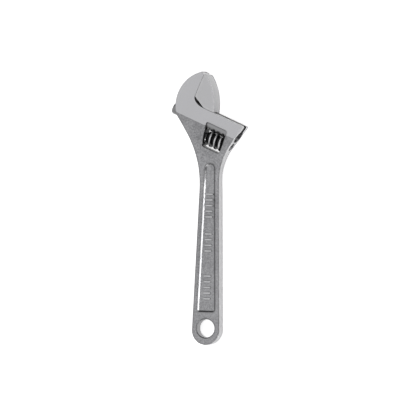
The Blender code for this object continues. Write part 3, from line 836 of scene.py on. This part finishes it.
def make_spring(material):
    """The coil spring in the pocket of the worm's right end."""
    length = SPRING_POCKET_DEPTH - 2 * GAP - 2 * SPRING_WIRE_RADIUS
    tree = Tree("coil_spring", {
        "Turns": SPRING_TURNS, "Coil radius": PIN_RADIUS + GAP + SPRING_WIRE_RADIUS, "Length": length,
        "Wire radius": SPRING_WIRE_RADIUS, "Steps": 40})
    radius = tree["Coil radius"]
    coil = tree.geometry("CurveSpiral", i0=tree["Steps"], i1=tree["Turns"], i2=radius, i3=radius,
                         i4=tree["Length"])
    wire = tree.geometry("CurvePrimitiveCircle", Resolution=12, Radius=tree["Wire radius"])
    tube = tree.node("GeometryNodeCurveToMesh", i0=coil, i1=wire)
    tube.inputs["Fill Caps"].default_value = True
    tree.finish(tube.outputs[0], material)
    spring = tree.build("coil_spring")
    start = WORM_LEFT + WORM_LENGTH - SPRING_POCKET_DEPTH + GAP + SPRING_WIRE_RADIUS
    spring.data.transform(Matrix.Translation((start, 0, 0)) @ Matrix.Rotation(math.pi / 2, 4, "Y"))
    in_head(spring, WORM_B)
    return smooth(spring, 60)


def make_bars(material):
    """Raised bars with round ends in three groups on the recess's floor, on both faces."""
    spots = []
    for below_head, count in BAR_GROUPS:
        for i in range(count):
            spots.append((0, HEAD_ORIGIN.y - below_head - (i - (count - 1) / 2) * BAR_PITCH, 0))
    tree = Tree("raised_bars", {"Length": BAR_LENGTH, "Width": BAR_WIDTH, "Height": BAR_HEIGHT,
                                "Floor": RECESS_FLOOR, "Sink": BAR_SINK})
    faces = []
    for sign in (1.0, -1.0):
        block = tree.geometry("MeshCube", i1=12, i2=6, i3=4, i0=(1.0, 1.0, 1.0))
        long, wide, high = tree.node("SeparateXYZ", i0=tree.geometry("InputPosition")).outputs
        across = tree.times(wide, 2.0)
        along = tree.math("ABSOLUTE", tree.times(long, 2.0))
        up = tree.plus(high, 0.5)
        taper = tree.minus(1.0, tree.times(tree.math("POWER", up, 3.0), BAR_TAPER))
        round_end = tree.math("MAXIMUM", tree.minus(1.0, tree.math("POWER", across, 2.0)), 0.02)
        bulge = tree.times(tree.times(tree.math("SQRT", round_end), taper), tree["Width"])
        share = tree.times(tree.math("POWER", along, 2.0), 0.5)
        share = tree.times(tree.math("SIGN", long), share)
        straight = tree.times(long, tree.minus(tree["Length"], tree["Width"]))
        x = tree.plus(straight, tree.times(share, bulge))
        y = tree.times(tree.times(wide, tree["Width"]), taper)
        body_up = tree.times(up, tree.plus(tree["Height"], tree["Sink"]))
        base = tree.minus(tree["Floor"], tree["Sink"])
        z = tree.times(tree.plus(base, body_up), sign)
        spot = tree.node("CombineXYZ", i0=x, i1=y, i2=z).outputs[0]
        shaped = tree.geometry("SetPosition", Geometry=block, Position=spot)
        if sign < 0:
            shaped = tree.geometry("FlipFaces", i0=shaped)
        faces.append(tree.geometry("InstanceOnPoints", Points=tree["Geometry"], Instance=shaped))
    joined = tree.group.nodes.new("GeometryNodeJoinGeometry")
    for part in faces:
        tree.group.links.new(part, joined.inputs[0])
    tree.finish(joined.outputs[0], material)
    return smooth(tree.build("raised_bars", new_mesh("bar_places", spots)), 50)


# ---- pin

def make_pin():
    """The screw pin: a plain shaft with a wider head, slotted for a screwdriver."""
    right = PIN_RIGHT
    shoulder = right - PIN_HEAD_LENGTH
    edge = PIN_CHAMFER
    pin = turned("slotted_pin", [
        (PIN_LEFT, 0), (PIN_LEFT, PIN_RADIUS - edge), (PIN_LEFT + edge, PIN_RADIUS), (shoulder, PIN_RADIUS),
        (shoulder, PIN_HEAD_RADIUS - edge / 2), (shoulder + edge / 2, PIN_HEAD_RADIUS),
        (right - edge, PIN_HEAD_RADIUS), (right - edge / 3, PIN_HEAD_RADIUS - edge / 2),
        (right, PIN_HEAD_RADIUS - edge), (right, 0)], 48)
    half, reach = PIN_SLOT_WIDTH / 2, 2 * PIN_HEAD_RADIUS
    slot = prism("pin_slot", [(right - PIN_SLOT_DEPTH, -half), (right + 1, -half), (right + 1, half),
                              (right - PIN_SLOT_DEPTH, half)], -reach, reach)
    combine(pin, slot, "DIFFERENCE")
    return smooth(in_head(pin, WORM_B), 30)


# ---- materials

def shader_group(name, inputs, outputs):
    group = bpy.data.node_groups.new(name, "ShaderNodeTree")
    for label, value in inputs.items():
        group.interface.new_socket(label, in_out="INPUT", socket_type="NodeSocketFloat").default_value = value
    for label in outputs:
        group.interface.new_socket(label, in_out="OUTPUT", socket_type="NodeSocketFloat")
    return group, group.nodes.new("NodeGroupInput"), group.nodes.new("NodeGroupOutput")


def feed(group, node, **inputs):
    """Sets or links a node's inputs by name, or by number as i0, i1 and on."""
    for key, value in inputs.items():
        socket = node.inputs[int(key[1:])] if key[0] == "i" and key[1:].isdigit() else node.inputs[key]
        if isinstance(value, bpy.types.NodeSocket):
            group.links.new(value, socket)
        else:
            socket.default_value = value
    return node


def shade(group, kind, settings=None, **inputs):
    """Adds a node, sets its settings and feeds its inputs."""
    made = group.nodes.new(kind if "Node" in kind else "ShaderNode" + kind)
    for key, value in (settings or {}).items():
        setattr(made, key, value)
    return feed(group, made, **inputs)


def calc(group, operation, first, second=0.0, third=0.0):
    return shade(group, "Math", {"operation": operation}, i0=first, i1=second, i2=third).outputs[0]


def colours(group, share, first, second):
    return shade(group, "Mix", {"data_type": "RGBA"}, i0=share, i6=first, i7=second).outputs[2]


def grain_group():
    """Fine pebbling and shallow dents of a plated forging, with mottling and a slow drift of its tone."""
    group, given, out = shader_group("plated_grain", {"Pebble scale": 1100.0, "Dent scale": 330.0,
                                                      "Drift scale": 70.0}, ["Height", "Tone"])
    place = shade(group, "TexCoord").outputs["Object"]

    def noise(label, detail, roughness):
        return shade(group, "TexNoise", Vector=place, Scale=given.outputs[label], Detail=detail,
                     Roughness=roughness).outputs["Fac"]

    pebble = noise("Pebble scale", 4.0, 0.6)
    dents = noise("Dent scale", 2.0, 0.5)
    drift = noise("Drift scale", 3.0, 0.55)
    height = calc(group, "MULTIPLY_ADD", dents, 1.1, calc(group, "MULTIPLY", pebble, 0.5))
    tone = calc(group, "MULTIPLY_ADD", pebble, 0.65, calc(group, "MULTIPLY", drift, 0.35))
    feed(group, out, Height=height, Tone=shade(group, "MapRange", i0=tone, i1=0.36, i2=0.64).outputs[0])
    return group


def grinding_group():
    """Long fine lines left by the grinding wheel, along the guide."""
    group, given, out = shader_group("grinding_lines", {"Lines per metre": 3500.0, "Length": 0.03},
                                     ["Height", "Tone"])
    place = shade(group, "TexCoord").outputs["Object"]
    turned_place = shade(group, "Mapping", Vector=place, Rotation=(0, 0, -HEAD_TURN)).outputs[0]
    parts = shade(group, "SeparateXYZ", i0=turned_place)
    fine = given.outputs["Lines per metre"]
    along = calc(group, "MULTIPLY", calc(group, "MULTIPLY", parts.outputs[1], fine), given.outputs["Length"])
    across = calc(group, "MULTIPLY", parts.outputs[0], fine)
    deep = calc(group, "MULTIPLY", parts.outputs[2], calc(group, "MULTIPLY", fine, 0.3))
    spot = shade(group, "CombineXYZ", i0=across, i1=along, i2=deep).outputs[0]
    lines = shade(group, "TexNoise", Vector=spot, Scale=1.0, Detail=3.0, Roughness=0.65).outputs["Fac"]
    broad = shade(group, "TexNoise", Vector=spot, Scale=0.12, Detail=2.0, Roughness=0.5).outputs["Fac"]
    feed(group, out, Height=lines, Tone=broad)
    return group


def wear_and_sheen_group():
    """Where handling has polished the plate, and where the body's side walls are painted brighter: along the
    edges, broken up by noise.
    """
    group, given, out = shader_group("edge_wear_and_sheen", {"Amount": 1.0, "Breakup scale": 400.0}, ["Mask"])
    edge = shade(group, "Attribute", {"attribute_name": "edge"}).outputs["Fac"]
    place = shade(group, "TexCoord").outputs["Object"]
    breakup = given.outputs["Breakup scale"]
    noise = shade(group, "TexNoise", Vector=place, Scale=breakup, Detail=3.0).outputs["Fac"]
    rough = calc(group, "MULTIPLY_ADD", noise, 0.9, 0.45)
    mask = calc(group, "MULTIPLY", calc(group, "MULTIPLY", edge, rough), given.outputs["Amount"])
    feed(group, out, Mask=calc(group, "MINIMUM", mask, 1.0))
    return group


GRAIN = grain_group()
GRINDING = grinding_group()
WEAR_AND_SHEEN = wear_and_sheen_group()


def new_material(name):
    material = bpy.data.materials.new(name)
    material.use_nodes = True
    return material, material.node_tree, material.node_tree.nodes["Principled BSDF"]


def metal(name, dark, light, wear_and_sheen, roughness, worn_roughness, grain=0.0, lines=0.0, ground=None,
          pebble_scale=1100.0):
    """A plated metal whose colour, gloss and bump come from grain, grinding lines, wear and painted shade.

    The attribute edge marks polished wear, and on the body's side walls a painted brightness as well; a
    second mark lays painted shade into corners, gaps and along dark edges. With ground, a colour,
    the attribute ground changes forged surfaces to ground ones.
    """
    material, tree, shader = new_material(name)

    def blended(share, first, second):
        return shade(tree, "Mix", {"data_type": "FLOAT"}, i0=share, i2=first, i3=second).outputs[0]

    grains, grinding, edges = [shade(tree, "Group", {"node_tree": part}) for part in (GRAIN, GRINDING, WEAR_AND_SHEEN)]
    grains.inputs["Pebble scale"].default_value = pebble_scale
    # Painted shade: the mark read here lays a dark colour into corners, gaps and along dark edges
    painted_shade = shade(tree, "Attribute", {"attribute_name": "painted_shade"}).outputs["Fac"]
    colour = colours(tree, grains.outputs["Tone"], (*dark, 1), (*light, 1))
    gloss = calc(tree, "MULTIPLY_ADD", grains.outputs["Tone"], 0.08, roughness - 0.04)
    bump_height = calc(tree, "MULTIPLY", grains.outputs["Height"], grain)
    if ground:
        ground_share = shade(tree, "Attribute", {"attribute_name": "ground"}).outputs["Fac"]
        dull = (*(0.97 * part for part in ground), 1)
        streaked = colours(tree, grinding.outputs["Tone"], dull, (*ground, 1))
        colour = colours(tree, ground_share, colour, streaked)
        streaks = calc(tree, "MULTIPLY", grinding.outputs["Height"], lines)
        bump_height = blended(ground_share, bump_height, streaks)
    elif lines:
        bump_height = calc(tree, "MULTIPLY_ADD", grinding.outputs["Height"], lines, bump_height)
    kept_grain = calc(tree, "MULTIPLY_ADD", edges.outputs["Mask"], -WORN_SMOOTHING, 1.0)
    bump_height = calc(tree, "MULTIPLY", bump_height, kept_grain)
    # Worn colour: polish, and on the body's side walls a painted brightness
    colour = colours(tree, edges.outputs["Mask"], colour, (*wear_and_sheen, 1))
    gloss = blended(edges.outputs["Mask"], gloss, worn_roughness)
    bump = shade(tree, "Bump", Height=bump_height, Strength=1.0, Distance=0.0001).outputs[0]
    feed(tree, shader, **{"Base Color": colours(tree, painted_shade, colour, PAINTED_SHADE_COLOUR), "Metallic": 1.0,
                          "Roughness": blended(painted_shade, gloss, PAINTED_SHADE_ROUGHNESS), "Normal": bump})
    return material


def floor_material():
    """White paper, a little brighter straight on so that it stays clean round the wrench."""
    material, tree, shader = new_material("pale_floor")
    seen = shade(tree, "LightPath").outputs["Is Camera Ray"]
    feed(tree, shader, **{"Base Color": (0.86, 0.86, 0.86, 1), "Roughness": 0.9, "Specular IOR Level": 0.0,
                          "Emission Color": (1, 1, 1, 1),
                          "Emission Strength": calc(tree, "MULTIPLY_ADD", seen, FLOOR_LIFT, FLOOR_GLOW)})
    return material


SATIN_PLATE = metal("satin_plate", (0.21, 0.21, 0.216), (0.41, 0.41, 0.418), (0.62, 0.62, 0.625), 0.22, 0.17,
                    grain=1.1, lines=0.1, ground=(0.492, 0.492, 0.502))
JAW_PLATE = metal("jaw_plate", (0.46, 0.46, 0.465), (0.485, 0.485, 0.49), (0.52, 0.52, 0.525), 0.22, 0.18,
                  lines=0.12)
WORM_PLATE = metal("worm_plate", (0.33, 0.33, 0.335), (0.55, 0.55, 0.555), (0.62, 0.62, 0.625), 0.22, 0.16,
                   grain=0.5, pebble_scale=1600.0)
PIN_STEEL = metal("pin_steel", (0.30, 0.30, 0.31), (0.42, 0.42, 0.43), (0.56, 0.56, 0.57), 0.3, 0.24,
                  grain=0.2)
SPRING_STEEL = metal("spring_steel", (0.24, 0.24, 0.25), (0.34, 0.34, 0.35), (0.5, 0.5, 0.51), 0.3, 0.24,
                     grain=0.1)


def paint(obj, material):
    obj.data.materials.clear()
    obj.data.materials.append(material)


def mark(obj, name, values):
    """Stores one number at each of a mesh's vertices."""
    attribute = obj.data.attributes.new(name, "FLOAT", "POINT")
    attribute.data.foreach_set("value", np.asarray(values, np.float32))


def positions(obj):
    places = np.zeros(len(obj.data.vertices) * 3, np.float32)
    obj.data.vertices.foreach_get("co", places)
    return places.reshape(-1, 3).astype(float)


def ridge(away, middle, reach):
    """1 at a distance from an outline, fading to 0 within reach on both sides of it."""
    return np.clip(1 - np.abs(away - middle) / reach, 0, 1)


def throat_shade(up, walls, b):
    """Painted shade on the walls round the jaws' throat, left off a rim at both faces."""
    in_throat = walls & (b > -THROAT_MARGIN) & (b < THROAT_TOP)
    return np.clip((HEAD_HALF - UNSHADED_RIM - up) / THROAT_FADE, 0, DEEP_SHADE) * in_throat


def mark_body(body):
    """Polish on the edges and the recess's wall, with the side walls painted brighter; the ground faces; and
    painted shade in the corners, in the gaps and along the handle's edges.
    """
    places = positions(body)
    flat, up = places[:, :2], np.abs(places[:, 2])
    a, b = head_parts(flat)
    recess, window, hole = [distance(flat, loop) for loop in (RECESS_OUTLINE, WINDOW_OUTLINE, HOLE_OUTLINE)]
    sides = np.minimum(distance(flat, BODY_OUTLINE), hole)
    in_recess = inside(flat, RECESS_OUTLINE)
    recess_wall = in_recess & (up > RECESS_FLOOR + 0.03)
    mark(body, "ground", np.clip((b + BAND_HEIGHT + 0.15) / 0.2, 0, 1))
    face_polish = FACE_POLISH * np.exp(-(sides / FACE_POLISH_REACH) ** 2)
    # The side walls get the worn colour in full: partly polish, partly a painted brightness for the light they
    # reflect from the floor
    polish_and_sheen = np.maximum(np.clip(1.5 - sides / 0.1, 0, 1), face_polish)
    mark(body, "edge", np.maximum(polish_and_sheen, WALL_POLISH * recess_wall))

    # Painted shade: dark colour in the window, along the window's and recess's rims, on the recess floor,
    # round the hole, along the handle's edges and in the throat
    window_wall_shade = np.clip((4.2 - up) / 1.2, 0, WINDOW_WALL_SHADE) * (window < 0.02) * (b > WINDOW_BOTTOM + 0.6)
    painted_shade = [window_wall_shade, WINDOW_RIM_SHADE * ridge(window, 0, 0.4) * (up > 3.0),
             RECESS_RIM_SHADE * ridge(recess, 0.15, 0.5) * (up > RECESS_FLOOR + 0.15),
             RECESS_FLOOR_SHADE * (in_recess & ~recess_wall), HOLE_SHADE * ridge(hole, 0.3, 0.4),
             SIDE_SHADE * ridge(sides, 0.35, 0.3) * (b < -BAND_HEIGHT),
             throat_shade(up, (sides < THROAT_WALL) & (a > -0.6) & (a < THROAT_WIDTH + 0.3), b)]
    mark(body, "painted_shade", np.maximum.reduce(painted_shade))


def mark_bars(bars):
    up = np.abs(positions(bars)[:, 2]) - RECESS_FLOOR
    mark(bars, "edge", BAR_POLISH * np.clip(up / BAR_HEIGHT, 0, 1))
    # Painted shade at the bars' feet
    mark(bars, "painted_shade", BAR_FOOT_SHADE * np.clip(1.3 - up / 0.3, 0, 1))
    mark(bars, "ground", np.zeros(len(up)))


def mark_jaw(jaw):
    """Polish along the jaw's edges, and painted shade in the throat, on the shank and in the rack's gaps."""
    places = positions(jaw)
    flat, up = places[:, :2], np.abs(places[:, 2])
    away = distance(flat, jaw_outline())
    a, b = head_parts(flat)
    mark(jaw, "edge", np.exp(-(away / JAW_POLISH_REACH) ** 2))
    # Painted shade on the shank, deeper in the rack's gaps
    depth = SHANK_RADIUS - 0.15 - np.hypot(b - SHANK_B, up)
    in_gaps = np.clip(depth / 0.7, 0, DEEP_SHADE) * (b < SHANK_B - 0.3)
    on_shank = (b < SHANK_B + WEB_HALF) * np.maximum(in_gaps, SHANK_SHADE)
    mark(jaw, "painted_shade", np.maximum(on_shank, throat_shade(up, (away < THROAT_WALL) & (a < 9.5), b)))


def mark_worm(worm):
    """Polished crests, and painted shade down in the thread."""
    places = positions(worm)
    out = np.hypot((places[:, :2] - np.array(head(0, WORM_B))) @ np.array(ACROSS), places[:, 2])
    mark(worm, "edge", np.clip((out - WORM_RADIUS + CREST_BAND) / CREST_BAND, 0, 1))
    mark(worm, "painted_shade", np.clip((WORM_RADIUS - CREST_BAND - out) / 1.0, 0, DEEP_SHADE))


# ---- assembly

def settle(obj, body, slot, material, *nodes):
    """Paints a finished piece, takes it to its place, and says what it rides on and stands for."""
    paint(obj, material)
    placed(obj)
    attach(obj, body)
    if nodes:
        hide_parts(*nodes)


body = make_body()
mark_body(body)
settle(body, "body", "satin_plate", SATIN_PLATE, "body")

bars = make_bars(SATIN_PLATE)
mark_bars(bars)
settle(bars, "body", "satin_plate", SATIN_PLATE)

jaw = make_jaw()
mark_jaw(jaw)
settle(jaw, "jaw", "jaw_plate", JAW_PLATE, "movable_jaw")

worm = make_worm(WORM_PLATE)
mark_worm(worm)
settle(worm, "worm", "worm_plate", WORM_PLATE, "worm")

pin = make_pin()
mark(pin, "edge", np.zeros(len(pin.data.vertices)))
settle(pin, "body", "pin_steel", PIN_STEEL, "worm_pin")

spring = make_spring(SPRING_STEEL)
mark(spring, "edge", np.zeros(len(spring.data.vertices)))
settle(spring, "body", "spring_steel", SPRING_STEEL, "worm_spring")


# ---- floor, light and camera

def make_floor():
    half = FLOOR_HALF
    corners = [(-half, -half, 0), (half, -half, 0), (half, half, 0), (-half, half, 0)]
    floor = new_object("floor", new_mesh("floor", corners, [(0, 1, 2, 3)]))
    floor.location.z = CAD_LOW.z - 0.0001
    paint(floor, floor_material())


# Brightness of the sky by height, level to overhead, and where each side's card starts and is full
RIGHT_CARD = (0.1, 0.75)
BEYOND_CARD = (0.5, 0.95)
BACKDROP = 1.2
SKY_LEFT = ((0.0, 0.32), (0.15, 0.4), (0.35, 0.66), (0.6, 0.74), (0.85, 0.84), (0.93, 0.98), (1.0, 0.95))
SKY_RIGHT = ((0.0, 1.0), (0.05, 5.0), (0.27, 4.6), (0.33, 0.1), (0.78, 0.08), (0.91, 0.9), (1.0, 0.95))
SKY_BEYOND = ((0.0, 0.1), (0.4, 0.15), (0.72, 0.4), (0.92, 0.95))


def make_sky():
    """A soft studio: even overhead, a dark card over a low bright strip on the right, dark beyond the head."""
    world = bpy.data.worlds.new("studio")
    bpy.context.scene.world = world
    world.use_nodes = True
    tree = world.node_tree
    tree.nodes.clear()
    direction = shade(tree, "TexCoord").outputs["Generated"]
    parts = shade(tree, "SeparateXYZ", i0=direction)
    level = calc(tree, "SQRT", calc(tree, "MAXIMUM", calc(tree, "SUBTRACT", 1.0, calc(
        tree, "POWER", calc(tree, "ABSOLUTE", parts.outputs[2]), 2.0)), 0.0001))

    def ramp(stops):
        made = shade(tree, "ValToRGB", i0=parts.outputs[2])
        elements = made.color_ramp.elements
        while len(elements) < len(stops):
            elements.new(0.5)
        for element, (position, _) in zip(elements, stops):
            element.position = position
        for element, (_, strength) in zip(elements, stops):
            element.color = (strength, strength, strength * 1.01, 1)
        return made.outputs[0]

    def towards(axis, start, end):
        share = calc(tree, "DIVIDE", parts.outputs[axis], level)
        return shade(tree, "MapRange", {"interpolation_type": "SMOOTHSTEP"}, i0=share, i1=start,
                     i2=end).outputs[0]

    mixed = colours(tree, towards(0, *RIGHT_CARD), ramp(SKY_LEFT), ramp(SKY_RIGHT))
    mixed = colours(tree, towards(1, *BEYOND_CARD), mixed, ramp(SKY_BEYOND))
    seen = shade(tree, "LightPath").outputs["Is Camera Ray"]
    mixed = colours(tree, seen, mixed, (BACKDROP, BACKDROP, BACKDROP, 1))
    background = shade(tree, "Background", Color=mixed, Strength=1.0)
    shade(tree, "OutputWorld", Surface=background.outputs[0])


def add_light(name, direction, reach, size, power):
    data = bpy.data.lights.new(name, "AREA")
    data.shape = "DISK"
    data.size = size
    data.energy = power
    light = new_object(name, data)
    offset = Vector(direction).normalized()
    light.location = offset * reach
    light.rotation_mode = "QUATERNION"
    light.rotation_quaternion = offset.to_track_quat("Z", "Y")


CAMERA_YAW = math.radians(20.0)
CAMERA_LEAN = math.radians(1.585)
FRAME_WIDTH = 416 / 1.827 * MM
AIM_RIGHT = 0.36 * MM
AIM_UP = 65.85 * MM
LENS = 500.0
SENSOR = 36.0


def make_camera():
    """A very long lens, turned to the wrench's right side, with the handle leaning a little."""
    tilt = Matrix.Rotation(CAMERA_LEAN, 3, "Z")
    right = tilt @ Vector((math.cos(CAMERA_YAW), 0, -math.sin(CAMERA_YAW)))
    up = tilt @ Vector((0, 1, 0))
    back = right.cross(up)
    data = bpy.data.cameras.new("camera")
    data.lens = LENS
    data.sensor_width = SENSOR
    data.clip_end = 20
    camera = new_object("camera", data)
    target = HOLE + right * AIM_RIGHT + up * AIM_UP
    turn = Matrix((right, up, back)).transposed().to_4x4()
    camera.matrix_world = Matrix.Translation(target + back * (FRAME_WIDTH * LENS / SENSOR)) @ turn
    bpy.context.scene.camera = camera


make_floor()
make_sky()
add_light("key_softbox", (0.3, -0.8, 0.6), 1.5, 0.6, 2.0)
add_light("low_softbox", (0.8, -0.6, 0.25), 1.3, 0.5, 1.5)
make_camera()
bpy.context.scene.view_settings.view_transform = "Standard"
